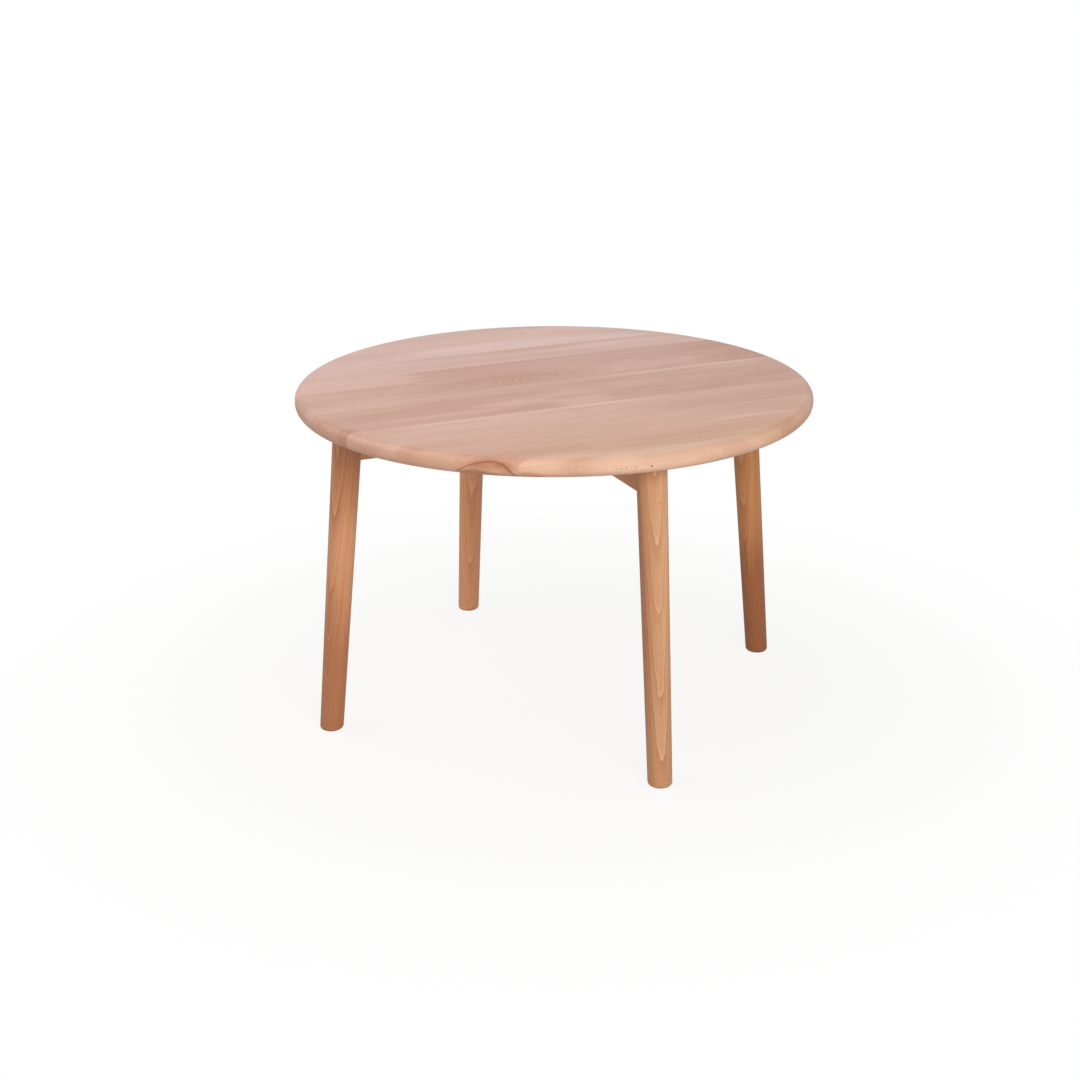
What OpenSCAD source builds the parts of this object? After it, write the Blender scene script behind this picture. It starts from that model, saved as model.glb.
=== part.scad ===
// Round childrens table in solid beech.
// A round top, glued up from staves, lies on two crossed rails. Each rail runs from one
// leg to the leg opposite, and the four turned legs stand outwards.
// Z points up from the floor, X runs along the grain of the top, and the origin is on
// the floor under the centre of the top.

/* [Top] */
// Diameter of the round top
top_d = 700; // [600:10:900]
// Thickness of the top
top_t = 24; // [21:1:32]
// Height of the top's upper face above the floor
table_h = 450; // [380:5:640]
// Radius of the rounding along the top's upper and lower edge
edge_r = 11; // [2:0.5:14]
// Least height of the upright band between the two roundings
rim_band_min = 1; // [0.5:0.5:4]
// Widths of the staves from front to back, in proportion: together they fill the top
stave_shares = [28, 22, 48, 64, 77, 33, 58, 33, 67, 54, 68, 55, 63, 30]; // [20:1:90]

/* [Legs] */
// Diameter of a leg at the underside of the top
leg_top_d = 39; // [36:0.5:50]
// Diameter of a leg at the floor
foot_d = 32; // [22:0.5:36]
// How far the foot stands outwards of the leg's upper end
foot_offset = 40; // [0:1:70]
// Distance of the foot's centre inside the edge of the top
foot_inset = 16; // [12:1:50]
// Radius of the rounding round the foot
foot_round = 5; // [1:0.5:7]

/* [Rails] */
// Width of a rail
rail_w = 22; // [19:1:26]
// Depth of a rail, from the underside of the top down
rail_h = 46; // [42:1:70]
// Radius of the rounding along a rail's lower edges
rail_edge_r = 2; // [0.5:0.5:4]
// Distance from a rail's end to the axis of its leg, at the top of the leg
rail_end_gap = 6; // [2:0.5:12]
// Clearance on each side of a slip fit in wood
wood_fit = 0.1; // [0.05:0.05:0.3]

/* [Leg joints] */
// Diameter of a dowel
dowel_d = 8; // [6:1:10]
// Length of a dowel, half of it in the leg
dowel_l = 30; // [20:2:32]
// Distance between the two dowels of a joint
dowel_pitch = 29; // [28:1:32]
// Chamfer on a dowel's ends
dowel_chamfer = 1; // [0.5:0.5:2]
// Room left past the end of a dowel or bolt
end_room = 1; // [0.5:0.5:2]
// Diameter of a hanger bolt
bolt_d = 6; // [5:1:8]
// Length of a hanger bolt's wood thread, in the leg
bolt_in_leg = 20; // [14:1:22]
// Length of the point on the wood thread
bolt_point = 6; // [3:1:8]
// Diameter at the tip of the point
bolt_tip_d = 1.5; // [0.5:0.5:3]
// Machine thread that stands past the nut
bolt_past_nut = 2; // [1:0.5:5]
// Clearance round a bolt in its hole through the rail
bolt_fit = 0.3; // [0.1:0.1:0.6]
// Diameter of the pocket bored in the rail's side for the nut
pocket_d = 20; // [18:1:21]
// Distance from the rail's end to the pocket's axis
pocket_from_end = 34; // [30:1:50]
// Depth of the pocket past the rail's centre plane
pocket_past_centre = 7; // [6.5:0.5:8]
// Thickness of the half moon washer in the middle
moon_t = 5; // [4:0.5:7]
// Width of the half moon washer along the pocket's axis
moon_w = 13; // [10:0.5:13]
// Clearance between the half moon washer and the pocket's wall
moon_fit = 0.1; // [0.05:0.05:0.3]
// Width of the hex nut across its flats
nut_flats = 10; // [8:0.5:10.5]
// Height of the hex nut
nut_h = 5; // [4:0.5:6]
// Clearance between a thread and its nut or its pilot hole
thread_fit = 0.05; // [0.02:0.01:0.1]

/* [Screws] */
// Diameter of a screw's shank
screw_d = 4.5; // [3.5:0.5:5]
// Length of a screw in the top
screw_in_top = 16; // [10:1:18]
// Length of a screw's point
screw_point = 4; // [2:1:6]
// Diameter at the tip of a screw's point
screw_tip_d = 0.8; // [0.4:0.1:1.5]
// Diameter of a screw's head where it bears
screw_head_d = 9; // [8:0.5:10]
// Diameter of a screw's head at its outer end
screw_head_end_d = 7.2; // [6:0.1:8]
// Height of a screw's head
screw_head_h = 3; // [2:0.5:4]
// Width of the cross recess in a screw's head
recess_w = 1.2; // [0.8:0.1:1.6]
// Length of the cross recess in a screw's head
recess_l = 5; // [3:0.5:6]
// Depth of the cross recess in a screw's head
recess_depth = 1.5; // [1:0.1:1.8]
// Wood left in the rail between the screw's washer and the top
wood_at_screw = 18; // [14:1:24]
// Distance from the centre to the inner screws
inner_screw_r = 90; // [60:1:120]
// Distance from the rail's end to the outer screws
outer_screw_from_end = 78; // [70:1:100]
// Diameter of the washer under a screw's head
washer_d = 12; // [11:0.5:13]
// Thickness of the washer under a screw's head
washer_t = 1.2; // [0.8:0.1:2]
// Clearance round a washer in its counterbore
washer_room = 0.5; // [0.2:0.1:0.8]
// Clearance round a screw's shank in the rail and the washer
screw_fit = 0.3; // [0.1:0.1:0.5]
// Length added to each slot of the rail that crosses the grain, so that the top can swell
swell_room = 6; // [0:1:10]

/* [Hidden] */
$fn = 96;
eps = 1;                       // how far a cut runs past the face it opens
top_r = top_d / 2;
under_z = table_h - top_t;     // underside of the top, and upper face of the rails
rim_r = min(edge_r, (top_t - rim_band_min) / 2);

foot_x = top_r - foot_inset;                   // leg's axis at the floor, from the centre
leg_top_x = foot_x - foot_offset;              // leg's axis at the underside of the top
leg_tilt = atan2(foot_offset, under_z);
leg_axis_l = norm([foot_offset, under_z]);

rail_end = leg_top_x - rail_end_gap;
rail_z = under_z - rail_h;
rail_mid_z = under_z - rail_h / 2;

pocket_x = rail_end - pocket_from_end;
moon_x = pocket_x + pocket_d / 2 - moon_fit;   // outermost point of the half moon washer
nut_x = moon_x - moon_t;                       // face of the washer that the nut bears on
bolt_end = nut_x - nut_h - bolt_past_nut;      // inner end of the machine thread

seat_z = under_z - wood_at_screw;              // face that a screw's washer bears on
outer_screw_r = rail_end - outer_screw_from_end;
SCREW_R = [-outer_screw_r, -inner_screw_r, inner_screw_r, outer_screw_r];
counterbore_d = washer_d + 2 * washer_room;

// The staves are numbered from front to back, and each ends where the next begins
stave_count = len(stave_shares);
function share_sum(n) = n == 0 ? 0 : stave_shares[n - 1] + share_sum(n - 1);
function stave_back(i) = -top_r + top_d * share_sum(i) / share_sum(stave_count);
function stave_front(i) = stave_back(i - 1);

// The legs stand a quarter turn apart, and the first stands along +X
LEGS = ["leg_back_right", "leg_back_left", "leg_front_left", "leg_front_right"];
last_leg = len(LEGS) - 1;

top_wood = "#dcb8a4";
leg_wood = "#c8966f";
rail_wood = "#bd8a63";
dowel_wood = "#d9bd93";
zinc = "#b9bcc0";

// A cylinder along X, from one distance to another
module rod_x(from, to, d1, d2) {
    translate([from, 0, 0]) rotate([0, 90, 0]) cylinder(h = to - from, d1 = d1, d2 = d2);
}

// The same thing at each of the four legs, drawn at the leg that stands along +X
module at_each_leg() {
    for (i = [0 : last_leg]) rotate([0, 0, i * 90]) children();
}

// The same thing at each of the eight screws, drawn on the Z axis
module at_each_rail_screw() {
    for (turn = [0, 90], r = SCREW_R) rotate([0, 0, turn]) translate([r, 0, 0]) children();
}

// Half of the section through the top, with both edges rounded
module top_section() {
    square([top_r - rim_r, top_t]);
    translate([0, rim_r]) square([top_r, top_t - 2 * rim_r]);
    for (z = [rim_r, top_t - rim_r]) translate([top_r - rim_r, z]) circle(rim_r);
}

// The hole that a screw's thread cuts in the top
module screw_pilot() {
    translate([0, 0, under_z - eps])
        cylinder(h = screw_in_top + end_room + eps, d = screw_d + 2 * thread_fit);
}

// One stave of the top, with the pilot holes of the screws that reach it
module top_stave(i) {
    color(top_wood) difference() {
        intersection() {
            translate([0, 0, under_z]) rotate_extrude() top_section();
            translate([-top_r - eps, stave_front(i), under_z - eps])
                cube([top_d + 2 * eps, stave_back(i) - stave_front(i), top_t + 2 * eps]);
        }
        at_each_rail_screw() screw_pilot();
    }
}

// Section through a rail, upright, with its lower edges rounded
module rail_section() {
    translate([-rail_w / 2, rail_edge_r]) square([rail_w, rail_h - rail_edge_r]);
    translate([-rail_w / 2 + rail_edge_r, 0]) square([rail_w - 2 * rail_edge_r, rail_h]);
    for (side = [-1, 1])
        translate([side * (rail_w / 2 - rail_edge_r), rail_edge_r]) circle(rail_edge_r);
}

// A hole for a screw, counterbored from below, as long as the slot asks
module screw_slot(travel) {
    for (x = [-travel / 2, travel / 2]) translate([x, 0, 0]) {
        translate([0, 0, rail_z - eps]) cylinder(h = seat_z - rail_z + eps, d = counterbore_d);
        translate([0, 0, seat_z - eps])
            cylinder(h = wood_at_screw + 2 * eps, d = screw_d + 2 * screw_fit);
    }
    if (travel > 0) {
        translate([-travel / 2, -counterbore_d / 2, rail_z - eps])
            cube([travel, counterbore_d, seat_z - rail_z + eps]);
        translate([-travel / 2, -screw_d / 2 - screw_fit, seat_z - eps])
            cube([travel, screw_d + 2 * screw_fit, wood_at_screw + 2 * eps]);
    }
}

// The bores in a rail's end: two for dowels, one for the bolt, and the nut's pocket
module rail_end_bores(pocket_side) {
    for (z = [-dowel_pitch / 2, dowel_pitch / 2]) translate([0, 0, rail_mid_z + z])
        rod_x(rail_end - dowel_l / 2 - end_room, rail_end + eps,
              dowel_d + 2 * wood_fit, dowel_d + 2 * wood_fit);
    translate([0, 0, rail_mid_z])
        rod_x(bolt_end - end_room, rail_end + eps, bolt_d + 2 * bolt_fit, bolt_d + 2 * bolt_fit);
    translate([pocket_x, pocket_side * (rail_w / 2 + eps), rail_mid_z])
        rotate([pocket_side * 90, 0, 0])
            cylinder(h = rail_w / 2 + pocket_past_centre + eps, d = pocket_d);
}

// A rail along X. The notch of its half lap is on the upper or the lower half.
module rail(notch_z, travel) {
    difference() {
        translate([0, 0, rail_z]) rotate([90, 0, 90])
            linear_extrude(height = 2 * rail_end, center = true) rail_section();
        translate([-rail_w / 2 - wood_fit, -rail_w / 2 - eps, notch_z])
            cube([rail_w + 2 * wood_fit, rail_w + 2 * eps, rail_h / 2 + eps]);
        for (r = SCREW_R) translate([r, 0, 0]) screw_slot(travel);
        rail_end_bores(1);
        rotate([0, 0, 180]) rail_end_bores(-1);
    }
}

// The rail that follows the grain of the top, notched from below
module rail_along_grain() {
    color(rail_wood) rail(rail_z - eps, 0);
}

// The rail that crosses the grain, notched from above, with slots so that the top can move
module rail_across_grain() {
    color(rail_wood) rotate([0, 0, -90]) rail(rail_mid_z, swell_room);
}

// Limits of a leg: cut level at the floor and at the top, and rounded round the foot
module leg_limits() {
    rotate_extrude() {
        square([foot_d / 2 - foot_round, under_z]);
        translate([foot_d / 2 - foot_round, foot_round]) circle(foot_round);
        polygon([[0, foot_round], [foot_d / 2, foot_round],
                 [foot_d / 2 + under_z, under_z], [0, under_z]]);
    }
}

// A turned leg that stands along +X, with the housing for the rail's end and its bores
module leg() {
    taper = (leg_top_d - foot_d) / leg_axis_l;
    spare = leg_top_d;
    color(leg_wood) difference() {
        intersection() {
            translate([foot_x, 0, 0]) rotate([0, -leg_tilt, 0]) translate([0, 0, -spare])
                cylinder(h = leg_axis_l + 2 * spare, d1 = foot_d - taper * spare,
                         d2 = leg_top_d + taper * spare);
            translate([foot_x, 0, 0]) leg_limits();
        }
        translate([rail_end - leg_top_d, -rail_w / 2 - wood_fit, rail_z])
            cube([leg_top_d, rail_w + 2 * wood_fit, rail_h + eps]);
        for (z = [-dowel_pitch / 2, dowel_pitch / 2]) translate([0, 0, rail_mid_z + z])
            rod_x(rail_end - eps, rail_end + dowel_l / 2 + end_room,
                  dowel_d + 2 * wood_fit, dowel_d + 2 * wood_fit);
        translate([0, 0, rail_mid_z])
            rod_x(rail_end - eps, rail_end + bolt_in_leg + end_room,
                  bolt_d + 2 * thread_fit, bolt_d + 2 * thread_fit);
    }
}

// Two beech dowels in each leg joint, chamfered at both ends
module leg_dowels() {
    tip_d = dowel_d - 2 * dowel_chamfer;
    inner = rail_end - dowel_l / 2;
    outer = rail_end + dowel_l / 2;
    color(dowel_wood) at_each_leg() for (z = [-dowel_pitch / 2, dowel_pitch / 2])
        translate([0, 0, rail_mid_z + z]) {
            rod_x(inner, inner + dowel_chamfer, tip_d, dowel_d);
            rod_x(inner + dowel_chamfer, outer - dowel_chamfer, dowel_d, dowel_d);
            rod_x(outer - dowel_chamfer, outer, dowel_d, tip_d);
        }
}

// A steel hanger bolt in each leg: a wood thread with a point, and a machine thread
module hanger_bolts() {
    thread_end = rail_end + bolt_in_leg;
    color(zinc) at_each_leg() translate([0, 0, rail_mid_z]) {
        rod_x(bolt_end, thread_end - bolt_point, bolt_d, bolt_d);
        rod_x(thread_end - bolt_point, thread_end, bolt_d, bolt_tip_d);
    }
}

// A half moon washer in each pocket: its round side fits the pocket, the nut bears on the flat
module half_moon_washers() {
    color(zinc) at_each_leg() difference() {
        intersection() {
            translate([pocket_x, 0, rail_mid_z]) rotate([90, 0, 0])
                cylinder(h = moon_w, d = pocket_d - 2 * moon_fit, center = true);
            translate([nut_x, -moon_w, rail_mid_z - pocket_d])
                cube([moon_t + eps, 2 * moon_w, 2 * pocket_d]);
        }
        translate([0, 0, rail_mid_z])
            rod_x(nut_x - eps, moon_x + eps, bolt_d + 2 * bolt_fit, bolt_d + 2 * bolt_fit);
    }
}

// A hex nut on each bolt, against the flat of its half moon washer
module hex_nuts() {
    color(zinc) at_each_leg() difference() {
        translate([nut_x - nut_h, 0, rail_mid_z]) rotate([0, 90, 0])
            cylinder(h = nut_h, d = nut_flats / cos(30), $fn = 6);
        translate([0, 0, rail_mid_z])
            rod_x(nut_x - nut_h - eps, nut_x + eps, bolt_d + 2 * thread_fit,
                  bolt_d + 2 * thread_fit);
    }
}

// Pan head screws that hold the rails to the top, driven from below
module top_screws() {
    head_z = seat_z - washer_t;
    shank_end = under_z + screw_in_top;
    color(zinc) at_each_rail_screw() {
        difference() {
            translate([0, 0, head_z - screw_head_h])
                cylinder(h = screw_head_h, d1 = screw_head_end_d, d2 = screw_head_d);
            for (turn = [0, 90]) rotate([0, 0, turn])
                translate([-recess_l / 2, -recess_w / 2, head_z - screw_head_h - eps])
                    cube([recess_l, recess_w, recess_depth + eps]);
        }
        translate([0, 0, head_z]) cylinder(h = shank_end - screw_point - head_z, d = screw_d);
        translate([0, 0, shank_end - screw_point])
            cylinder(h = screw_point, d1 = screw_d, d2 = screw_tip_d);
    }
}

// A flat washer under the head of each screw, at the bottom of the counterbore
module screw_washers() {
    color(zinc) at_each_rail_screw() difference() {
        translate([0, 0, seat_z - washer_t]) cylinder(h = washer_t, d = washer_d);
        translate([0, 0, seat_z - washer_t - eps])
            cylinder(h = washer_t + 2 * eps, d = screw_d + 2 * screw_fit);
    }
}

for (i = [1 : stave_count])
    top_stave(i);
rail_along_grain();
rail_across_grain();
for (i = [0 : last_leg])
    rotate([0, 0, i * 90]) leg();
leg_dowels();
hanger_bolts();
half_moon_washers();
hex_nuts();
top_screws();
screw_washers();
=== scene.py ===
import math

import bpy
from mathutils import Matrix, Vector


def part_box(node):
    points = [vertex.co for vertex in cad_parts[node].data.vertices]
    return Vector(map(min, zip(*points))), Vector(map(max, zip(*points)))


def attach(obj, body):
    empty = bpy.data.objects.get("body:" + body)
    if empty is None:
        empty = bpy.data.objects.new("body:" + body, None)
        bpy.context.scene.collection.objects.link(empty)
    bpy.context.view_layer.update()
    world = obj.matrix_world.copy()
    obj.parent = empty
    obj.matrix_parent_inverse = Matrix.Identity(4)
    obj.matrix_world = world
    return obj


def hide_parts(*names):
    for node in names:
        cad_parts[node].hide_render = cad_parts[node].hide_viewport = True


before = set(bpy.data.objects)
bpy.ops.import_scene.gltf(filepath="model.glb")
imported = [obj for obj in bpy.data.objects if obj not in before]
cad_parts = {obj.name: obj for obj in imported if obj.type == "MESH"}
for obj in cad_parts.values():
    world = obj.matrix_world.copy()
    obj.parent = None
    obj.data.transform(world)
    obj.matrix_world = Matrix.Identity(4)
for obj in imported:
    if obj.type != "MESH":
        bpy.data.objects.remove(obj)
bpy.ops.object.select_all(action="DESELECT")
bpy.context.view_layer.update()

# Tabletop. Fourteen staves of solid beech, edge-glued side by side with their grain along X,
# planed flat, routed round and rounded over along both edges, then sanded flush and oiled.
# It is turned here as one disc, which is then sawn along the glue lines.
top_radius = 0.350
top_under = 0.426
top_face = 0.450
edge_radius = 0.011
pilot_radius = 0.0023
pilot_depth = 0.017
screw_rings = (0.090, 0.210)
smooth_angle = math.radians(30)
shading_band = 0.0004
overcut = 0.001
touching = 1e-5


def srgb(code):
    """Turns an sRGB hex value into Blender's linear colour."""
    parts = [int(code[i:i + 2], 16) / 255 for i in (1, 3, 5)]
    return tuple(c / 12.92 if c <= 0.04045 else ((c + 0.055) / 1.055) ** 2.4 for c in parts) + (1.0,)


def add_node(tree, kind, inputs=None, **settings):
    """Adds a node with its settings. Each input is a value or the output socket that feeds it."""
    node = tree.nodes.new(kind)
    for name, value in settings.items():
        setattr(node, name, value)
    for socket, value in (inputs or {}).items():
        if isinstance(value, bpy.types.NodeSocket):
            tree.links.new(value, node.inputs[socket])
        else:
            node.inputs[socket].default_value = value
    return node


def set_ramp(node, stops):
    """Gives a colour ramp its stops, each a place from 0 to 1 and a hex colour."""
    elements = node.color_ramp.elements
    while len(elements) < len(stops):
        elements.new(0.5)
    for element, (place, colour) in zip(elements, stops):
        element.position = place
        element.color = srgb(colour)


# Oiled steamed beech, sawn, turned or planed and then sanded. Growth rings, rays and fibres
# are solid in the wood around the heart of its log, so every cut shows the figure that it
# should: arches where a ring is cut flat, stripes on the quarter, and arcs on the end grain.
# The oil leaves a warm pinkish brown with a satin gloss, a little rougher where a fibre is open.
def oiled_beech(name, dark, pale, heart, grain, ring_mm, seed, ring_show=0.12, year_show=0.08, streak_mm=13,
                noise_show=0.42, fleck_show=0.3, wave_mm=7.0, patches=(), figures=(), mineral_lines=(),
                pin_knots=(), end_dark=0.12, edge_dark_and_painted_shade=0.3):
    material = bpy.data.materials.new(name)
    material.use_nodes = True
    tree = material.node_tree
    tree.nodes.clear()
    place = add_node(tree, "ShaderNodeTexCoord")
    lie = Vector(grain).to_track_quat("X", "Z").to_euler()
    log = add_node(tree, "ShaderNodeMapping", {"Vector": place.outputs["Object"], "Location": heart,
                   "Rotation": lie}, vector_type="TEXTURE")

    # The trunk isn't straight: its rings wander by some millimetres in a run of 220 mm, and
    # wobble by half a millimetre in a run of 30 mm
    wander_run, wander_width = 0.220, 0.070
    wobble_run, wobble_width, wobble_size = 0.030, 0.009, 0.0011
    slow = add_node(tree, "ShaderNodeMapping", {"Vector": log.outputs[0], "Location": (seed, 0, 0),
                    "Scale": (1 / wander_run, 1 / wander_width, 1 / wander_width)})
    slow = add_node(tree, "ShaderNodeTexNoise", {"Vector": slow.outputs[0], "Scale": 1.0, "Detail": 2.0})
    slow = add_node(tree, "ShaderNodeVectorMath", {0: slow.outputs["Color"], 1: (0.5, 0.5, 0.5)},
                    operation="SUBTRACT")
    slow = add_node(tree, "ShaderNodeVectorMath", {0: slow.outputs[0],
                    1: (0, wave_mm / 1000, wave_mm / 1000)}, operation="MULTIPLY")
    quick = add_node(tree, "ShaderNodeMapping", {"Vector": log.outputs[0], "Location": (0, seed, 0),
                     "Scale": (1 / wobble_run, 1 / wobble_width, 1 / wobble_width)})
    quick = add_node(tree, "ShaderNodeTexNoise", {"Vector": quick.outputs[0], "Scale": 1.0, "Detail": 2.0})
    quick = add_node(tree, "ShaderNodeVectorMath", {0: quick.outputs["Color"], 1: (0.5, 0.5, 0.5)},
                     operation="SUBTRACT")
    quick = add_node(tree, "ShaderNodeVectorMath", {0: quick.outputs[0], 1: (0, wobble_size, wobble_size)},
                     operation="MULTIPLY")
    grown = add_node(tree, "ShaderNodeVectorMath", {0: log.outputs[0], 1: slow.outputs[0]}, operation="ADD")
    grown = add_node(tree, "ShaderNodeVectorMath", {0: grown.outputs[0], 1: quick.outputs[0]},
                     operation="ADD")
    parts = add_node(tree, "ShaderNodeSeparateXYZ", {0: grown.outputs[0]})
    across = add_node(tree, "ShaderNodeVectorMath", {0: grown.outputs[0], 1: (0, 1, 1)}, operation="MULTIPLY")
    across = add_node(tree, "ShaderNodeVectorMath", {0: across.outputs[0]}, operation="LENGTH")
    turn = add_node(tree, "ShaderNodeMath", {0: parts.outputs["Y"], 1: parts.outputs["Z"]},
                    operation="ARCTAN2")

    # One ring a year. Wide and narrow years come in runs of four or five
    run_rate, run_shift = 0.22, 2.2
    years = add_node(tree, "ShaderNodeMath", {0: across.outputs["Value"], 1: 1000 / ring_mm},
                     operation="MULTIPLY")
    run = add_node(tree, "ShaderNodeMath", {0: years.outputs[0], 1: run_rate, 2: seed},
                   operation="MULTIPLY_ADD")
    run = add_node(tree, "ShaderNodeTexNoise", {"W": run.outputs[0], "Scale": 1.0, "Detail": 1.0},
                   noise_dimensions="1D")
    years = add_node(tree, "ShaderNodeMath", {0: run.outputs[0], 1: run_shift, 2: years.outputs[0]},
                     operation="MULTIPLY_ADD")
    year = add_node(tree, "ShaderNodeMath", {0: years.outputs[0]}, operation="FRACT")
    late = add_node(tree, "ShaderNodeValToRGB", {0: year.outputs[0]})
    set_ramp(late, ((0.0, "#ffffff"), (0.06, "#f0f0f0"), (0.14, "#bcbcbc"), (0.60, "#b0b0b0"),
                    (0.90, "#595959"), (1.0, "#303030")))
    tone_years = add_node(tree, "ShaderNodeMath", {0: years.outputs[0]}, operation="FLOOR")
    tone_years = add_node(tree, "ShaderNodeMath", {0: tone_years.outputs[0], 1: seed}, operation="ADD")
    tone_years = add_node(tree, "ShaderNodeTexWhiteNoise", {"W": tone_years.outputs[0]},
                          noise_dimensions="1D")

    # Streaks twenty times as long as wide, clouds 45 mm wide, and fibres half a millimetre wide.
    # Real fibres are much finer, and this is as fine as a render of the whole table shows
    cloud_run, cloud_width = 0.300, 0.045
    fibre_run, fibre_width, fibre_show = 0.018, 0.0005, 0.25
    streaks = add_node(tree, "ShaderNodeMapping", {"Vector": grown.outputs[0], "Location": (seed, seed, 0),
                       "Scale": (50 / streak_mm, 1000 / streak_mm, 1000 / streak_mm)})
    streaks = add_node(tree, "ShaderNodeTexNoise", {"Vector": streaks.outputs[0], "Scale": 1.0, "Detail": 3.0,
                       "Roughness": 0.66})
    clouds = add_node(tree, "ShaderNodeMapping", {"Vector": grown.outputs[0], "Location": (0, seed, seed),
                      "Scale": (1 / cloud_run, 1 / cloud_width, 1 / cloud_width)})
    clouds = add_node(tree, "ShaderNodeTexNoise", {"Vector": clouds.outputs[0], "Scale": 1.0, "Detail": 3.0})
    fibres = add_node(tree, "ShaderNodeMapping", {"Vector": grown.outputs[0],
                      "Scale": (1 / fibre_run, 1 / fibre_width, 1 / fibre_width)})
    fibres = add_node(tree, "ShaderNodeTexNoise", {"Vector": fibres.outputs[0], "Scale": 1.0, "Detail": 2.0})
    tone = None
    for source, share in ((tone_years, year_show), (streaks, noise_show), (clouds, noise_show),
                          (fibres, fibre_show)):
        part = add_node(tree, "ShaderNodeMath", {0: source.outputs[0], 1: share}, operation="MULTIPLY")
        tone = part if tone is None else add_node(
            tree, "ShaderNodeMath", {0: tone.outputs[0], 1: part.outputs[0]}, operation="ADD")
    centring = 0.5 - 0.5 * (fibre_show + 2 * noise_show + year_show)
    tone = add_node(tree, "ShaderNodeMath", {0: tone.outputs[0], 1: centring}, operation="ADD")

    # Paler and darker patches of this one piece, and the places where its rings show more. Most are
    # the wood's own tone, but a few on the top are painted shade, and one on the front edge is partly
    # a painted sheen. Each has its middle, its reach, its strength, and how softly it ends. The
    # streaks fray its edge
    patch_edge, patch_blur, patch_fray = 0.72, 0.375, 0.7
    rings = ring_show
    for is_figure, spots in ((False, patches), (True, figures)):
        for middle, reach, strength, softness in spots:
            patch = add_node(tree, "ShaderNodeVectorMath", {0: place.outputs["Object"], 1: slow.outputs[0]},
                             operation="ADD")
            patch = add_node(tree, "ShaderNodeMapping", {"Vector": patch.outputs[0], "Location": middle,
                             "Scale": reach}, vector_type="TEXTURE")
            patch = add_node(tree, "ShaderNodeTexGradient", {"Vector": patch.outputs[0]},
                             gradient_type="SPHERICAL")
            patch = add_node(tree, "ShaderNodeMath", {0: streaks.outputs[0], 1: patch_fray,
                             2: patch.outputs[1]}, operation="MULTIPLY_ADD")
            patch = add_node(tree, "ShaderNodeMapRange", {0: patch.outputs[0],
                             1: patch_edge - patch_blur * softness, 2: patch_edge + patch_blur * softness},
                             interpolation_type="SMOOTHSTEP")
            if is_figure:
                rings = add_node(tree, "ShaderNodeMath", {0: patch.outputs[0], 1: strength, 2: rings},
                                 operation="MULTIPLY_ADD").outputs[0]
            else:
                tone = add_node(tree, "ShaderNodeMath", {0: patch.outputs[0], 1: strength,
                                2: tone.outputs[0]}, operation="MULTIPLY_ADD")
    ring_mean = 0.43
    late = add_node(tree, "ShaderNodeMath", {0: late.outputs[0], 1: ring_mean}, operation="SUBTRACT")
    tone = add_node(tree, "ShaderNodeMath", {0: late.outputs[0], 1: rings, 2: tone.outputs[0]},
                    operation="MULTIPLY_ADD")
    colour = add_node(tree, "ShaderNodeValToRGB", {0: tone.outputs[0]})
    set_ramp(colour, ((0.0, dark), (1.0, pale)))

    # Rays end on the surface as brown flecks, 3 mm long on a flat-sawn face and wider on the
    # quarter. Not every ray shows, and most of those that do lie in the paler streaks
    ray_brown = "#9a5f40"
    ray_run, ray_width, ray_depth, ray_radius = 0.0065, 0.0010, 0.012, 0.060
    fleck_core, fleck_rim = 0.16, 0.34
    streak_pull, least_chance, full_chance = 1.6, 1.45, 1.75
    rays = add_node(tree, "ShaderNodeMath", {0: parts.outputs["X"], 1: 1 / ray_run}, operation="MULTIPLY")
    rays_turn = add_node(tree, "ShaderNodeMath", {0: turn.outputs[0], 1: ray_radius / ray_width},
                         operation="MULTIPLY")
    rays_out = add_node(tree, "ShaderNodeMath", {0: across.outputs["Value"], 1: 1 / ray_depth},
                        operation="MULTIPLY")
    rays = add_node(tree, "ShaderNodeCombineXYZ", {0: rays.outputs[0], 1: rays_turn.outputs[0],
                    2: rays_out.outputs[0]})
    rays = add_node(tree, "ShaderNodeTexVoronoi", {"Vector": rays.outputs[0], "Scale": 1.0,
                    "Randomness": 1.0})
    fleck = add_node(tree, "ShaderNodeMapRange", {0: rays.outputs["Distance"], 1: fleck_rim, 2: fleck_core})
    chance = add_node(tree, "ShaderNodeSeparateColor", {0: rays.outputs["Color"]})
    chance = add_node(tree, "ShaderNodeMath", {0: streaks.outputs[0], 1: streak_pull, 2: chance.outputs[0]},
                      operation="MULTIPLY_ADD")
    chance = add_node(tree, "ShaderNodeMapRange", {0: chance.outputs[0], 1: least_chance, 2: full_chance})
    fleck = add_node(tree, "ShaderNodeMath", {0: fleck.outputs[0], 1: chance.outputs[0]},
                     operation="MULTIPLY")
    amount = add_node(tree, "ShaderNodeMath", {0: fleck.outputs[0], 1: fleck_show}, operation="MULTIPLY")
    colour = add_node(tree, "ShaderNodeMix", {0: amount.outputs[0], 6: colour.outputs[0], 7: srgb(ray_brown)},
                      data_type="RGBA", blend_type="MULTIPLY").outputs[2]

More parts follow.
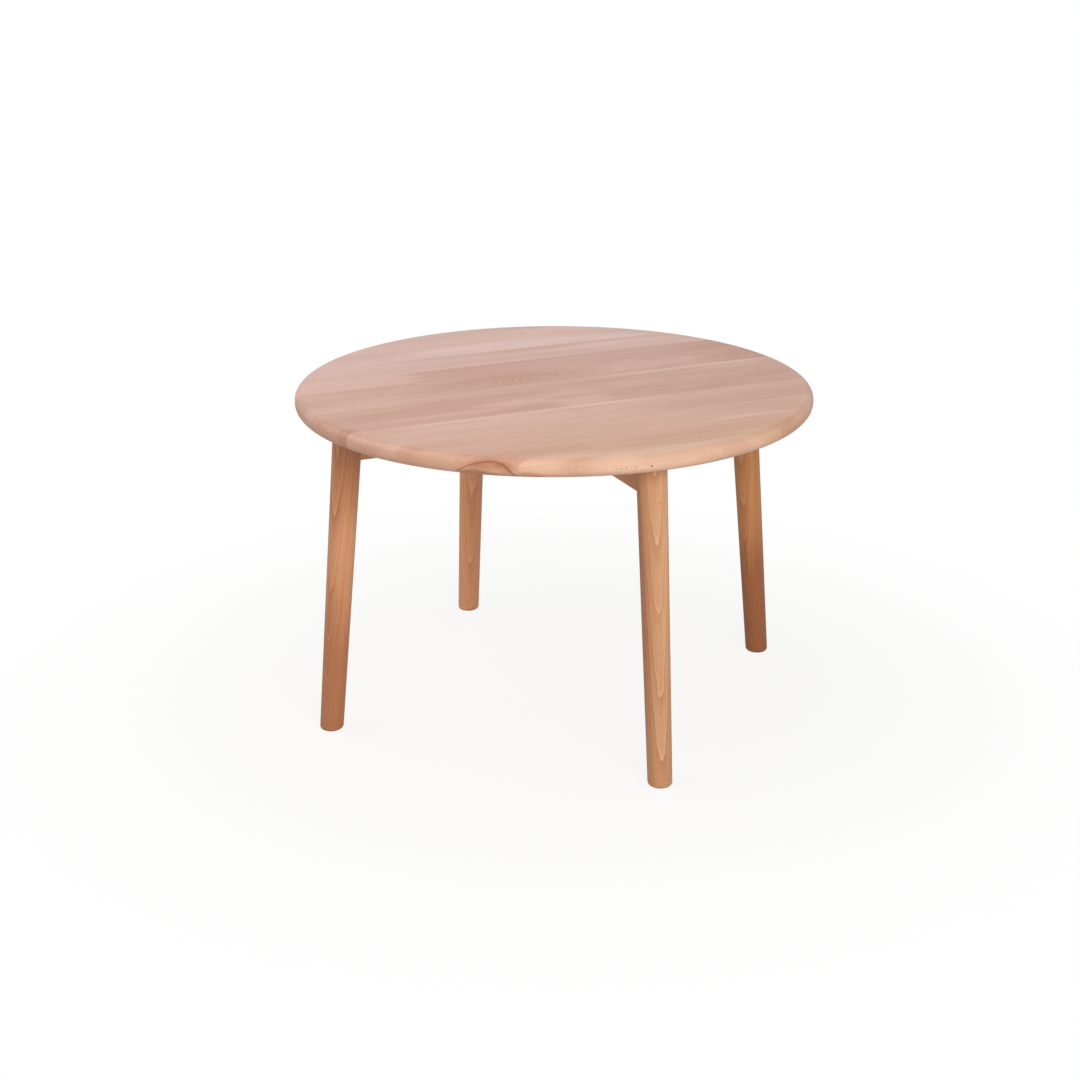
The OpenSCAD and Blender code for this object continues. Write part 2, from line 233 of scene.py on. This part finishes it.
    # Dark mineral lines, where the surface cuts a tilted egg of stained wood, and pin knots
    mineral_brown, knot_brown = "#8f5635", "#6e4028"
    mineral_show, knot_core = 0.8, 0.3
    for middle, tilt, reach, width in mineral_lines:
        line = add_node(tree, "ShaderNodeVectorMath", {0: place.outputs["Object"], 1: quick.outputs[0]},
                        operation="ADD")
        line = add_node(tree, "ShaderNodeMapping", {"Vector": line.outputs[0], "Location": middle,
                        "Rotation": (math.radians(tilt), 0, 0), "Scale": reach}, vector_type="TEXTURE")
        line = add_node(tree, "ShaderNodeVectorMath", {0: line.outputs[0]}, operation="LENGTH")
        line = add_node(tree, "ShaderNodeMath", {0: line.outputs["Value"], 1: 1.0}, operation="SUBTRACT")
        line = add_node(tree, "ShaderNodeMath", {0: line.outputs[0]}, operation="ABSOLUTE")
        line = add_node(tree, "ShaderNodeMapRange", {0: line.outputs[0], 1: width, 2: 0.0, 3: 0.0,
                        4: mineral_show}, interpolation_type="SMOOTHSTEP")
        colour = add_node(tree, "ShaderNodeMix", {0: line.outputs[0], 6: colour, 7: srgb(mineral_brown)},
                          data_type="RGBA").outputs[2]
    for middle, radius in pin_knots:
        knot = add_node(tree, "ShaderNodeVectorMath", {0: place.outputs["Object"], 1: middle},
                        operation="DISTANCE")
        knot = add_node(tree, "ShaderNodeMapRange", {0: knot.outputs["Value"], 1: radius,
                        2: knot_core * radius}, interpolation_type="SMOOTHSTEP")
        colour = add_node(tree, "ShaderNodeMix", {0: knot.outputs[0], 6: colour, 7: srgb(knot_brown)},
                          data_type="RGBA").outputs[2]

    # End grain drinks more oil, and so it is darker. So is a rounded edge, which cuts the fibres
    # at a slant, most of all on the slope next to the top face, and less on an upright side. The
    # slope next to the underside, which faces down, is darkened just as much, and there the
    # darkening is painted shade for the shadow under the edge
    end_grain_brown, slope_brown_and_painted_shade = "#b07850", "#e8dcd0"
    end_from = 0.35
    log_way = add_node(tree, "ShaderNodeMapping", {"Vector": place.outputs["Normal"], "Rotation": lie},
                       vector_type="TEXTURE")
    end = add_node(tree, "ShaderNodeSeparateXYZ", {0: log_way.outputs[0]})
    end = add_node(tree, "ShaderNodeMath", {0: end.outputs["X"]}, operation="ABSOLUTE")
    end = add_node(tree, "ShaderNodeMapRange", {0: end.outputs[0], 1: end_from, 2: 1.0, 3: 0.0, 4: end_dark},
                   interpolation_type="SMOOTHSTEP")
    colour = add_node(tree, "ShaderNodeMix", {0: end.outputs[0], 6: colour, 7: srgb(end_grain_brown)},
                      data_type="RGBA", blend_type="MULTIPLY").outputs[2]

    # Darker by how the surface tilts. On the slope under an edge, facing down, this is painted shade
    slant_and_painted_shade = add_node(tree, "ShaderNodeSeparateXYZ", {0: place.outputs["Normal"]})
    slant_and_painted_shade = add_node(tree, "ShaderNodeMath", {0: slant_and_painted_shade.outputs["Z"], 1: 0.5, 2: 0.5},
                     operation="MULTIPLY_ADD")
    slant_and_painted_shade = add_node(tree, "ShaderNodeValToRGB", {0: slant_and_painted_shade.outputs[0]})
    set_ramp(slant_and_painted_shade, ((0.0, "#000000"), (0.05, "#ffffff"), (0.25, "#ffffff"), (0.37, "#bcbcbc"),
                     (0.50, "#7c7c7c"), (0.75, "#aaaaaa"), (0.88, "#ffffff"), (0.975, "#ffffff"),
                     (1.0, "#000000")))
    slant_and_painted_shade = add_node(tree, "ShaderNodeMath", {0: slant_and_painted_shade.outputs[0], 1: edge_dark_and_painted_shade}, operation="MULTIPLY")
    colour = add_node(tree, "ShaderNodeMix", {0: slant_and_painted_shade.outputs[0], 6: colour, 7: srgb(slope_brown_and_painted_shade)},
                      data_type="RGBA", blend_type="MULTIPLY").outputs[2]

    # A satin gloss of oil, with fibres and flecks that stand a few hundredths of a millimetre deep
    smooth_wood, open_fibre, fleck_rise = 0.38, 0.52, -0.8
    rough = add_node(tree, "ShaderNodeMapRange", {0: fibres.outputs[0], 1: 0.2, 2: 0.8, 3: smooth_wood,
                     4: open_fibre})
    height = add_node(tree, "ShaderNodeMath", {0: fleck.outputs[0], 1: fleck_rise, 2: fibres.outputs[0]},
                      operation="MULTIPLY_ADD")
    bump = add_node(tree, "ShaderNodeBump", {"Height": height.outputs[0], "Strength": 0.35,
                    "Distance": 0.00006})
    wood = add_node(tree, "ShaderNodeBsdfPrincipled", {"Base Color": colour, "Roughness": rough.outputs[0],
                    "IOR": 1.5, "Normal": bump.outputs[0]})
    add_node(tree, "ShaderNodeOutputMaterial", {"Surface": wood.outputs[0]})
    return material


def select_where(piece, part, wanted):
    """Selects the edges or faces of a piece whose corners are all wanted, and stays in edit mode."""
    bpy.ops.object.mode_set(mode="EDIT")
    bpy.ops.mesh.select_mode(type=part)
    bpy.ops.mesh.select_all(action="DESELECT")
    bpy.ops.object.mode_set(mode="OBJECT")
    mesh = piece.data
    for item in mesh.edges if part == "EDGE" else mesh.polygons:
        item.select = all(wanted(mesh.vertices[i].co) for i in item.vertices)
    bpy.ops.object.mode_set(mode="EDIT")


def cut_away(piece, cutter):
    """Cuts one solid out of another, and removes the cutter."""
    bpy.ops.object.select_all(action="DESELECT")
    bpy.context.view_layer.objects.active = piece
    piece.select_set(True)
    cut = piece.modifiers.new("cut", "BOOLEAN")
    cut.operation = "DIFFERENCE"
    cut.solver = "EXACT"
    cut.object = cutter
    bpy.ops.object.modifier_apply(modifier=cut.name)
    bpy.data.objects.remove(cutter, do_unlink=True)


def copy_of(piece, name):
    """A copy with a mesh of its own, selected alone."""
    bpy.ops.object.select_all(action="DESELECT")
    copy = piece.copy()
    copy.data = piece.data.copy()
    copy.name = copy.data.name = name
    bpy.context.collection.objects.link(copy)
    bpy.context.view_layer.objects.active = copy
    copy.select_set(True)
    return copy


# The disc is turned in one piece, and a narrow band inside each flat face keeps its shading level
bpy.ops.mesh.primitive_cylinder_add(vertices=320, radius=top_radius, depth=top_face - top_under,
                                    location=(0, 0, (top_face + top_under) / 2))
disc = bpy.context.object
disc.name = "tabletop_disc"
bpy.ops.object.transform_apply(location=True, rotation=True, scale=True)
select_where(disc, "EDGE", lambda co: co.z > top_face - touching)
bpy.ops.mesh.bevel(offset=edge_radius, segments=10, profile=0.5, affect="EDGES")
select_where(disc, "EDGE", lambda co: co.z < top_under + touching)
bpy.ops.mesh.bevel(offset=edge_radius, segments=10, profile=0.5, affect="EDGES")
for level in (top_face, top_under):
    select_where(disc, "FACE", lambda co: abs(co.z - level) < touching)
    bpy.ops.mesh.inset(thickness=shading_band)
bpy.ops.object.mode_set(mode="OBJECT")

# Pilot holes for the screws, four round each ring, bored from below
for turn in range(4):
    for radius in screw_rings:
        spot = (radius * math.cos(turn * math.pi / 2), radius * math.sin(turn * math.pi / 2))
        bpy.ops.mesh.primitive_cylinder_add(vertices=24, radius=pilot_radius, depth=pilot_depth + overcut,
                                            location=(*spot, top_under + (pilot_depth - overcut) / 2))
        cut_away(disc, bpy.context.object)

# Each stave with the two tones of its wood, the place of its log's heart across and below the
# stave (mm), the slope of the grain across and down (per mille), its ring width (mm), and where
# in the noise its pattern is taken from. A patch has its place along and across the top, its
# length and width (mm), its strength, how softly it ends, and where it doesn't go through the
# stave its height and depth (mm).
STAVES = {
    "top_stave_1": dict(
        dark="#b98b72", pale="#e9c8b2", heart=(60, 14), slope=(-9, 10), ring_mm=2.4, seed=7.3, fleck_show=0.4,
        patches=[(100, -335, 120, 60, -0.12, 1), (-60, -338, 60, 40, 0.1, 1), (-118, -330, 60, 40, -0.12, 1),
                 # The next patch, paler along the front edge, is partly paler wood and partly a painted sheen
                 # in place of the front lamp's reflection
                 (-15, -349, 160, 30, 0.2, 1, 435, 26)],
        pin_knots=[((-0.0275, -0.3489, 0.4365), 0.0018), ((-0.0704, -0.3428, 0.4366), 0.0010),
                   ((-0.0650, -0.3439, 0.4366), 0.0010), ((-0.0596, -0.3449, 0.4368), 0.0010),
                   ((-0.0475, -0.3468, 0.4370), 0.0011)]),
    "top_stave_2": dict(
        dark="#ad7856", pale="#efcdb4", heart=(-8, 40), slope=(4, 8), ring_mm=2.3, seed=14.6,
        patches=[(-175, -305, 90, 40, -0.4, 1, 427, 20), (-172, -311, 90, 60, 0.08, 1),
                 (10, -311, 320, 60, -0.2, 1), (190, -311, 100, 60, -0.12, 1)]),
    "top_stave_3": dict(
        dark="#ad7858", pale="#ddb49e", heart=(10, 52), slope=(0, 3), ring_mm=2.6, seed=21.9, wave_mm=2.0,
        edge_dark_and_painted_shade=0.4,
        mineral_lines=[((-0.211, -0.2535, 0.3906), -55.4, (0.120, 0.0636, 0.0280), 0.040)],
        patches=[(-212, -276, 90, 44, -0.5, 0.9, 441, 20), (-224, -269, 100, 54, -0.65, 0.9, 427, 22),
                 (-200, -290, 60, 40, -0.5, 0.9, 424, 14), (-210, -281, 60, 40, 0.25, 0.8, 436, 14),
                 (-198, -292, 50, 22, -0.35, 0.8, 440, 22), (235, -262, 80, 60, 0.12, 1),
                 (-60, -278, 160, 50, 0.07, 1), (76, -287, 36, 10, -0.2, 0.5), (10, -262, 420, 44, 0.12, 1),
                 (-150, -258, 120, 24, 0.08, 1), (150, -255, 90, 8, -0.12, 0.6)]),
    "top_stave_4": dict(
        dark="#b17f62", pale="#e1bbaa", heart=(-20, 70), slope=(-10, 12), ring_mm=2.2, seed=29.2,
        patches=[(175, -244, 170, 18, 0.15, 0.8), (60, -248, 220, 16, 0.12, 1),
                 # The first patch on the next line, darker towards the right end, is painted shade where less
                 # light falls on that end of the top
                 (220, -205, 320, 50, -0.1, 1), (160, -200, 120, 30, -0.05, 1),
                 (285, -215, 100, 70, 0.15, 1), (-230, -215, 140, 60, -0.05, 1),
                 (-285, -215, 50, 80, -0.12, 1), (-20, -226, 420, 30, -0.07, 1)]),
    "top_stave_5": dict(
        dark="#b18166", pale="#e1bdae", heart=(30, 55), slope=(12, -14), ring_mm=2.8, seed=36.5,
        patches=[(-325, -150, 50, 90, -0.1, 1), (-120, -116, 440, 26, 0.24, 0.8),
                 (-130, -140, 420, 60, 0.1, 1), (50, -115, 200, 40, 0.18, 0.8),
                 # The first patch on the next line, darker over the right half, is painted shade where less
                 # light falls on that end of the top
                 (215, -165, 420, 100, -0.15, 1), (-25, -137, 50, 8, -0.2, 0.5),
                 (-10, -165, 200, 50, 0.09, 1), (-85, -160, 120, 34, 0.1, 1),
                 (-105, -124, 180, 20, 0.13, 1)]),
    "top_stave_6": dict(
        dark="#aa765b", pale="#dab2a3", heart=(5, 54), slope=(14, 20), ring_mm=2.5, seed=43.8,
        patches=[(-335, -104, 60, 36, -0.25, 0.4), (-195, -83, 350, 20, 0.22, 0.8),
                 (-75, -98, 140, 34, -0.06, 0.7), (0, -94, 130, 90, 0.25, 0.6),
                 # The second patch on the next line, darker towards the right end, is painted shade where
                 # less light falls on that end of the top
                 (90, -86, 150, 44, -0.13, 0.6), (270, -108, 400, 60, -0.16, 1),
                 (170, -94, 160, 60, -0.06, 1)]),
    "top_stave_7": dict(
        dark="#aa775c", pale="#dab3a4", heart=(-14, 58), slope=(10, 15), ring_mm=2.4, seed=47.4,
        patches=[(-280, -32, 240, 30, 0.12, 1), (0, -27, 140, 18, 0.07, 1), (-190, -50, 260, 70, -0.07, 1),
                 (-80, -65, 150, 36, 0.25, 0.8), (-80, -28, 130, 30, -0.06, 1), (0, -49, 140, 36, 0.22, 0.8),
                 (90, -40, 170, 54, 0.14, 1), (210, -50, 180, 30, 0.06, 1), (110, -73, 240, 22, -0.1, 1),
                 (280, -66, 220, 60, -0.08, 1)]),
    "top_stave_8": dict(
        dark="#ab7a5f", pale="#dbb6a7", heart=(-26, 60), slope=(14, -12), ring_mm=2.3, seed=51.1,
        figures=[(-240, -10, 240, 60, 0.12, 1)],
        patches=[(-260, 2, 260, 60, 0.12, 1), (20, -15, 260, 24, -0.05, 1), (110, -14, 180, 20, -0.08, 1),
                 (180, 8, 420, 22, 0.25, 0.8), (280, -8, 180, 60, 0.15, 1)]),
    "top_stave_9": dict(
        dark="#ab785e", pale="#dbb4a6", heart=(-1, 100), slope=(0, 130), ring_mm=2.0, seed=58.4, wave_mm=6.0,
        ring_show=0.08,
        figures=[(-25, 47, 300, 90, 0.36, 1), (-240, 45, 260, 90, 0.12, 1)],
        patches=[(-250, 79, 180, 5, -0.3, 0.5), (-260, 22, 190, 44, 0.18, 1),
                 (-50, 45, 320, 100, -0.16, 0.8), (165, 46, 260, 76, 0.12, 0.8),
                 (330, 35, 170, 120, -0.25, 1)]),
    "top_stave_10": dict(
        dark="#aa775e", pale="#dab3a6", heart=(34, 66), slope=(-18, 10), ring_mm=2.3, seed=65.7,
        patches=[(-262, 104, 350, 130, 0.36, 0.35), (330, 105, 260, 100, -0.16, 1),
                 (-90, 112, 90, 30, -0.05, 1)]),
    "top_stave_11": dict(
        dark="#b58773", pale="#e5c3bb", heart=(-18, 48), slope=(14, -16), ring_mm=2.7, seed=73.0,
        patches=[(-220, 180, 300, 80, 0.12, 1), (45, 190, 240, 36, -0.14, 0.8),
                 (190, 172, 240, 70, 0.18, 0.7), (205, 193, 170, 5, -0.2, 0.5)]),
    "top_stave_12": dict(
        dark="#b88c79", pale="#e8c8c1", heart=(10, 60), slope=(10, 18), ring_mm=2.4, seed=80.3,
        patches=[(25, 236, 420, 100, 0.22, 0.8), (160, 224, 200, 50, 0.06, 1),
                 (-150, 238, 120, 50, -0.06, 1), (200, 212, 140, 50, 0.2, 1)]),
    "top_stave_13": dict(
        dark="#b98c77", pale="#e9c8bf", heart=(-30, 58), slope=(16, -9), ring_mm=2.6, seed=87.6,
        patches=[(100, 300, 160, 24, 0.1, 0.9)]),
    "top_stave_14": dict(
        dark="#b38a77", pale="#e3c6bf", heart=(0, 50), slope=(-8, 11), ring_mm=2.5, seed=94.9),
}
through = (450, 400)
for number, (node, wood) in enumerate(STAVES.items(), start=1):
    low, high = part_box(node)
    stave = copy_of(disc, f"beech_stave_{number}")
    bpy.ops.object.mode_set(mode="EDIT")
    if number > 1:
        bpy.ops.mesh.select_all(action="SELECT")
        bpy.ops.mesh.bisect(plane_co=(0, low[1], 0), plane_no=(0, 1, 0), use_fill=True, clear_inner=True)
    if number < len(STAVES):
        bpy.ops.mesh.select_all(action="SELECT")
        bpy.ops.mesh.bisect(plane_co=(0, high[1], 0), plane_no=(0, 1, 0), use_fill=True, clear_outer=True)
    bpy.ops.object.mode_set(mode="OBJECT")
    bpy.ops.object.shade_smooth_by_angle(angle=smooth_angle)
    across_mm, below_mm = wood.pop("heart")
    slope_across, slope_down = wood.pop("slope")
    spots = {}
    for kind in ("patches", "figures"):
        spots[kind] = []
        for x, y, length, width, strength, softness, *level in wood.pop(kind, ()):
            z, height = level or through
            spots[kind].append(((x / 1000, y / 1000, z / 1000), (length / 2000, width / 2000, height / 2000),
                                strength, softness))
    stave.data.materials.clear()
    stave.data.materials.append(oiled_beech(
        f"oiled_beech_stave_{number}",
        heart=(0, (low[1] + high[1]) / 2 + across_mm / 1000, top_face - below_mm / 1000),
        grain=(1, slope_across / 1000, -slope_down / 1000), **spots, **wood))
    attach(stave, "root")
    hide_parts(node)
bpy.data.objects.remove(disc, do_unlink=True)

# Rails. Two beech bars, 22 by 46 mm, planed with their lower edges eased, crossed in a half
# lap under the middle of the top. Each ends in the housings of two legs. The CAD solids stay.
rail_heart = (0.010, 0.010, 0.330)
for node, grain, seed in (("rail_along_grain", (1, 0.008, 0.01), 3.7),
                          ("rail_across_grain", (0.012, 1, 0.009), 11.9)):
    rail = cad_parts[node]
    rail.data.materials.clear()
    rail.data.materials.append(oiled_beech(
        f"oiled_beech_{node}", dark="#a96d44", pale="#d69c6e", heart=rail_heart, grain=grain,
        ring_mm=2.6, seed=seed, ring_show=0.25, year_show=0.2, noise_show=0.5, end_dark=0.4))

# Legs. Four beech legs, turned to a taper from 39 mm at the top to 32 mm at the foot, sawn
# level at both ends and rounded at the foot. Each is housed for its rail's end and bored for
# two dowels and a hanger bolt.
foot_centre = 0.334
head_centre = 0.294
foot_radius = 0.016
head_radius = 0.0195
foot_rounding = 0.005
housing_end = 0.288
housing_width = 0.0222
housing_low = 0.380
housing_reach = 0.040
housing_height = 0.060
joint_level = 0.403
dowel_hole = (0.0041, 0.016)
bolt_hole = (0.00305, 0.021)
dowel_spread = 0.0145

lean = math.atan2(foot_centre - head_centre, top_under)
axis_length = math.hypot(foot_centre - head_centre, top_under)
spare = 0.030
taper = (head_radius - foot_radius) / axis_length
bpy.ops.mesh.primitive_cone_add(
    vertices=128, radius1=foot_radius - taper * spare, radius2=head_radius + taper * spare,
    depth=axis_length + 2 * spare, location=((foot_centre + head_centre) / 2, 0, top_under / 2),
    rotation=(0, -lean, 0))
leg = bpy.context.object
leg.name = "turned_leg"
bpy.ops.object.transform_apply(location=True, rotation=True, scale=True)
bpy.ops.object.mode_set(mode="EDIT")
bpy.ops.mesh.select_all(action="SELECT")
bpy.ops.mesh.bisect(plane_co=(0, 0, 0), plane_no=(0, 0, 1), use_fill=True, clear_inner=True)
bpy.ops.mesh.select_all(action="SELECT")
bpy.ops.mesh.bisect(plane_co=(0, 0, top_under), plane_no=(0, 0, 1), use_fill=True, clear_outer=True)
select_where(leg, "EDGE", lambda co: co.z < touching)
bpy.ops.mesh.bevel(offset=foot_rounding, segments=7, profile=0.5, affect="EDGES")
select_where(leg, "FACE", lambda co: co.z < touching)
bpy.ops.mesh.inset(thickness=shading_band)
bpy.ops.object.mode_set(mode="OBJECT")
bpy.ops.mesh.primitive_cube_add(size=1, location=(housing_end - housing_reach / 2, 0,
                                                   housing_low + housing_height / 2))
housing = bpy.context.object
housing.scale = (housing_reach, housing_width, housing_height)
bpy.ops.object.transform_apply(location=True, rotation=True, scale=True)
cut_away(leg, housing)
for drop, (radius, depth) in ((dowel_spread, dowel_hole), (-dowel_spread, dowel_hole), (0, bolt_hole)):
    bpy.ops.mesh.primitive_cylinder_add(vertices=32, radius=radius, depth=depth + 2 * overcut,
                                        location=(housing_end + depth / 2 - overcut, 0, joint_level + drop),
                                        rotation=(0, math.pi / 2, 0))
    cut_away(leg, bpy.context.object)

# Each leg with its wood's two tones, the way its flat-sawn face looks (degrees round from
# outwards), how deep the log's heart lies behind that face (mm), how fast it comes nearer
# towards the foot (per mille), its ring width (mm), and its darker parts
LEGS = {
    "leg_back_right": dict(
        dark="#975e39", pale="#d39660", face=-147, deep=60, nearer=24, ring_mm=2.2, seed=21.3,
        patches=[((0.330, 0, 0.030), (0.1, 0.1, 0.23), -0.85, 1)]),
    "leg_back_left": dict(
        dark="#b5744d", pale="#e9ad83", face=165, deep=50, nearer=25, ring_mm=2.3, seed=34.1),
    "leg_front_left": dict(
        dark="#a86d48", pale="#e0a97f", face=33, deep=51.2, nearer=26, ring_mm=2.0, seed=47.9,
        patches=[((-0.334, 0, 0.030), (0.1, 0.1, 0.24), -0.6, 1),
                 ((-0.290, 0, 0.370), (0.1, 0.1, 0.10), -0.3, 1)],
        pin_knots=[((-0.2891, -0.0161, 0.371), 0.0018)]),
    "leg_front_right": dict(
        dark="#a16842", pale="#dcaf87", face=-15, deep=79.6, nearer=24.5, ring_mm=2.5, seed=55.2,
        patches=[((-0.026, -0.314, 0.210), (0.022, 0.2, 0.6), -0.3, 1)]),
}
for quarter, (node, wood) in enumerate(LEGS.items()):
    turned = copy_of(leg, f"beech_{node}")
    turned.rotation_euler = (0, 0, quarter * math.pi / 2)
    bpy.ops.object.transform_apply(location=True, rotation=True, scale=True)
    bpy.ops.object.shade_smooth_by_angle(angle=smooth_angle)
    outwards = quarter * math.pi / 2
    looks = outwards + math.radians(wood.pop("face"))
    outwards = Vector((math.cos(outwards), math.sin(outwards), 0))
    looks = Vector((math.cos(looks), math.sin(looks), 0))
    middle = outwards * (foot_centre + head_centre) / 2 + Vector((0, 0, top_under / 2))
    heart = middle - looks * (wood.pop("deep") / 1000 - (foot_radius + head_radius) / 2)
    upwards = Vector((0, 0, top_under)) - outwards * (foot_centre - head_centre)
    upwards = upwards.normalized() + looks * (taper - wood.pop("nearer") / 1000)
    turned.data.materials.clear()
    turned.data.materials.append(oiled_beech(
        f"oiled_beech_{node}", heart=heart, grain=upwards, ring_show=0.50, year_show=0.15, streak_mm=5,
        noise_show=0.5, fleck_show=0.5, wave_mm=2.5, end_dark=0.4, **wood))
    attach(turned, "root")
    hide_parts(node)
bpy.data.objects.remove(leg, do_unlink=True)

# Dowels. Eight fluted beech dowels, 8 by 30 mm, glued two to a leg joint. Only their ends
# would show with a joint taken apart. They are left pale, because they take no oil.
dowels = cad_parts["leg_dowels"]
dowels.data.materials.clear()
dowels.data.materials.append(oiled_beech(
    "dry_beech_dowels", dark="#c9a57c", pale="#e6cba4", heart=(0.020, 0.010, 0.300), grain=(1, 1, 0),
    ring_mm=2.0, seed=5.0, end_dark=0.2))


# Bolts, nuts, washers and screws. Turned, pressed and cold-formed steel with bright zinc
# plating: a cool grey metal, half gloss, with faint cloudiness and a bluish passivation. The
# bolts' thread shows as rings around the shank, 1 mm from one to the next.
def zinc_plated_steel(name, half_pitch_mm):
    material = bpy.data.materials.new(name)
    material.use_nodes = True
    tree = material.node_tree
    tree.nodes.clear()
    place = add_node(tree, "ShaderNodeTexCoord")
    cloud_size = 0.004
    cloud = add_node(tree, "ShaderNodeTexNoise", {"Vector": place.outputs["Object"], "Scale": 1 / cloud_size,
                     "Detail": 4.0})
    colour = add_node(tree, "ShaderNodeValToRGB", {0: cloud.outputs[0]})
    set_ramp(colour, ((0.30, "#a9adb3"), (0.70, "#cfd2d6")))
    bright, dull = 0.26, 0.42
    rough = add_node(tree, "ShaderNodeMapRange", {0: cloud.outputs[0], 1: 0.3, 2: 0.7, 3: bright, 4: dull})
    height = cloud.outputs[0]
    if half_pitch_mm:
        way = add_node(tree, "ShaderNodeVectorMath", {0: place.outputs["Object"], 1: (1, 1, 0)},
                       operation="MULTIPLY")
        way = add_node(tree, "ShaderNodeVectorMath", {0: way.outputs[0]}, operation="LENGTH")
        way = add_node(tree, "ShaderNodeMath", {0: way.outputs["Value"], 1: 1000 / half_pitch_mm},
                       operation="MULTIPLY")
        way = add_node(tree, "ShaderNodeMath", {0: way.outputs[0], 1: 1.0}, operation="PINGPONG")
        height = way.outputs[0]
    bump = add_node(tree, "ShaderNodeBump", {"Height": height, "Strength": 0.8 if half_pitch_mm else 0.15,
                    "Distance": 0.0004 if half_pitch_mm else 0.00005})
    metal = add_node(tree, "ShaderNodeBsdfPrincipled", {"Base Color": colour.outputs[0], "Metallic": 1.0,
                     "Roughness": rough.outputs[0], "Normal": bump.outputs[0]})
    add_node(tree, "ShaderNodeOutputMaterial", {"Surface": metal.outputs[0]})
    return material


for node, half_pitch_mm in (("hanger_bolts", 0.5), ("hex_nuts", 0), ("half_moon_washers", 0),
                        ("top_screws", 0), ("screw_washers", 0)):
    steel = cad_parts[node]
    steel.data.materials.clear()
    steel.data.materials.append(zinc_plated_steel(f"zinc_plated_{node}", half_pitch_mm))

# Studio. A seamless white sweep: a pale floor that keeps the soft shadow near the table and
# goes over into white, a large soft light in front, and a weaker one behind and to the left.
floor_radius = 6.0
bpy.ops.mesh.primitive_circle_add(vertices=96, radius=floor_radius, fill_type="NGON", location=(0, 0, 0))
floor = bpy.context.object
floor.name = "studio_floor"
paper = bpy.data.materials.new("white_paper_sweep")
paper.use_nodes = True
tree = paper.node_tree
tree.nodes.clear()
place = add_node(tree, "ShaderNodeTexCoord")
far = add_node(tree, "ShaderNodeVectorMath", {0: place.outputs["Object"]}, operation="LENGTH")
shadow_reach, white_from, least_white = 0.30, 0.95, 0.87
far = add_node(tree, "ShaderNodeMapRange", {0: far.outputs["Value"], 1: shadow_reach, 2: white_from,
               3: least_white, 4: 1.0}, interpolation_type="SMOOTHSTEP")
rays = add_node(tree, "ShaderNodeLightPath")
seen = add_node(tree, "ShaderNodeMath", {0: rays.outputs["Is Camera Ray"], 1: far.outputs[0]},
                operation="MULTIPLY")
matt = add_node(tree, "ShaderNodeBsdfDiffuse", {"Color": srgb("#dcd9d5")})
white = add_node(tree, "ShaderNodeEmission", {"Color": (1, 1, 1, 1), "Strength": 1.0})
mixed = add_node(tree, "ShaderNodeMixShader", {0: seen.outputs[0], 1: matt.outputs[0], 2: white.outputs[0]})
add_node(tree, "ShaderNodeOutputMaterial", {"Surface": mixed.outputs[0]})
floor.data.materials.append(paper)

world = bpy.data.worlds.new("studio")
bpy.context.scene.world = world
world.use_nodes = True
tree = world.node_tree
tree.nodes.clear()
rays = add_node(tree, "ShaderNodeLightPath")
seen = add_node(tree, "ShaderNodeMath", {0: rays.outputs["Is Camera Ray"], 1: rays.outputs["Is Glossy Ray"]},
                operation="MAXIMUM")
seen = add_node(tree, "ShaderNodeMath", {0: seen.outputs[0], 1: rays.outputs["Is Transmission Ray"]},
                operation="MAXIMUM")
room = add_node(tree, "ShaderNodeBackground", {"Color": srgb("#fdfcfc"), "Strength": 0.46})
white = add_node(tree, "ShaderNodeBackground", {"Color": (1, 1, 1, 1), "Strength": 1.0})
mixed = add_node(tree, "ShaderNodeMixShader", {0: seen.outputs[0], 1: room.outputs[0], 2: white.outputs[0]})
add_node(tree, "ShaderNodeOutputWorld", {"Surface": mixed.outputs[0]})

# The front lamp isn't mirrored in the oiled wood, because its glare would hide the grain from
# behind. Both lamps are aimed at a point 300 mm above the floor.
lit_point = (0, 0, 0.3)
for name, spot, size, watts, mirrored in (("key_softbox", (-0.4, -2.9, 1.7), 1.6, 67.5, False),
                                          ("back_softbox", (-1.8, 0.9, 2.2), 1.8, 27.5, True)):
    lamp_data = bpy.data.lights.new(name, "AREA")
    lamp_data.shape = "SQUARE"
    lamp_data.size = size
    lamp_data.energy = watts
    lamp_data.color = srgb("#fffaf4")[:3]
    lamp = bpy.data.objects.new(name, lamp_data)
    bpy.context.collection.objects.link(lamp)
    lamp.location = spot
    lamp.visible_glossy = mirrored
    aim = Vector(lit_point) - Vector(spot)
    lamp.rotation_euler = aim.to_track_quat("-Z", "Y").to_euler()

# Camera. It stands 2.5 m away and 1.1 m up, in front of the table and somewhat to the left, and
# looks down by 20 degrees through a short telephoto lens.
camera_data = bpy.data.cameras.new("camera")
camera_data.lens = 62.43
camera_data.sensor_width = 36.0
camera = bpy.data.objects.new("camera", camera_data)
bpy.context.collection.objects.link(camera)
camera_spot = (-1.0058, -2.2527, 1.1094)
heading, tilt, roll = math.radians(-23.608), math.radians(70.265), math.radians(-0.196)
aimed = Matrix.Rotation(heading, 4, "Z") @ Matrix.Rotation(tilt, 4, "X") @ Matrix.Rotation(roll, 4, "Z")
camera.matrix_world = Matrix.Translation(camera_spot) @ aimed
bpy.context.scene.camera = camera
bpy.context.scene.view_settings.view_transform = "Standard"
